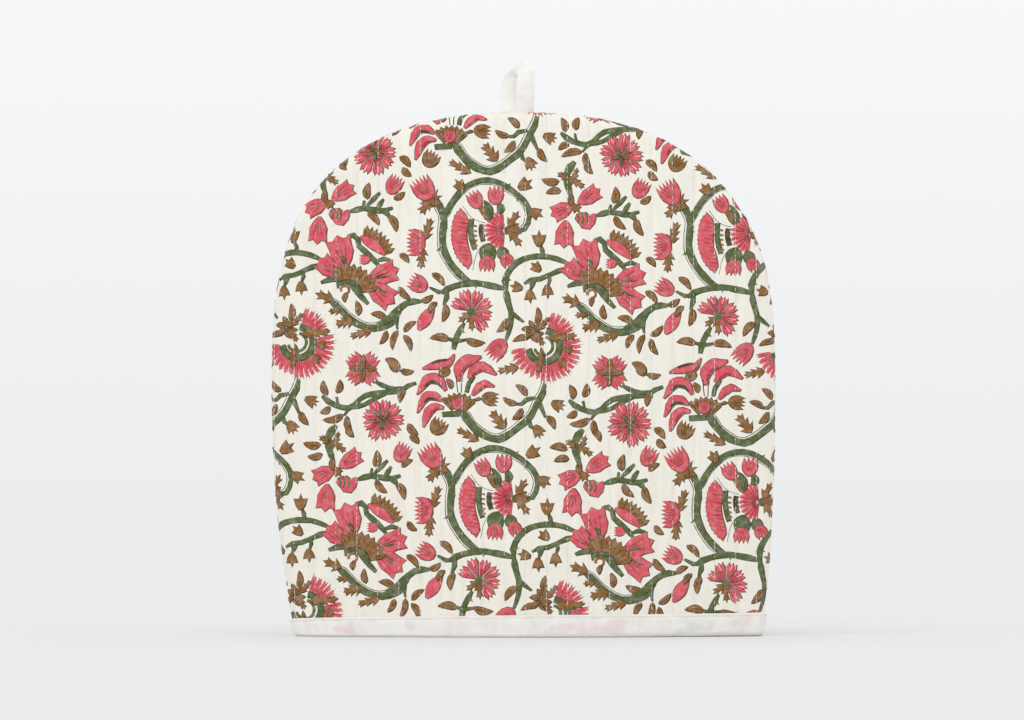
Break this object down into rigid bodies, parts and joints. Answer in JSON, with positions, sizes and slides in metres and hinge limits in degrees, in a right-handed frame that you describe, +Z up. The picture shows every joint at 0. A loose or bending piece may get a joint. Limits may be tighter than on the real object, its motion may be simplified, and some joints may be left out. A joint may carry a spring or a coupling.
{
  "type": "quilted tea cosy",
  "caption": "Dome-shaped quilted cotton tea cosy, hollow and open below, with a bound hem and a tape hanging loop at its crown.",
  "frame": {"origin": "centre of the bounding box at the hem's underside", "axes": "+Z up towards the loop, +X along the width, the printed front faces -Y"},
  "size_m": [0.305, 0.0924, 0.3493],
  "materials": {
    "front_print": "matte printed cotton, quilted in upright rows",
    "back_print": "matte printed cotton, quilted in upright rows",
    "binding_cotton": "matte white cotton",
    "loop_tape": "matte white cotton tape"
  },
  "bodies": {
    "root": {"front_panel": "front_print", "back_panel": "back_print", "hem_binding": "binding_cotton", "hanging_loop": "loop_tape"}
  },
  "joints": []
}
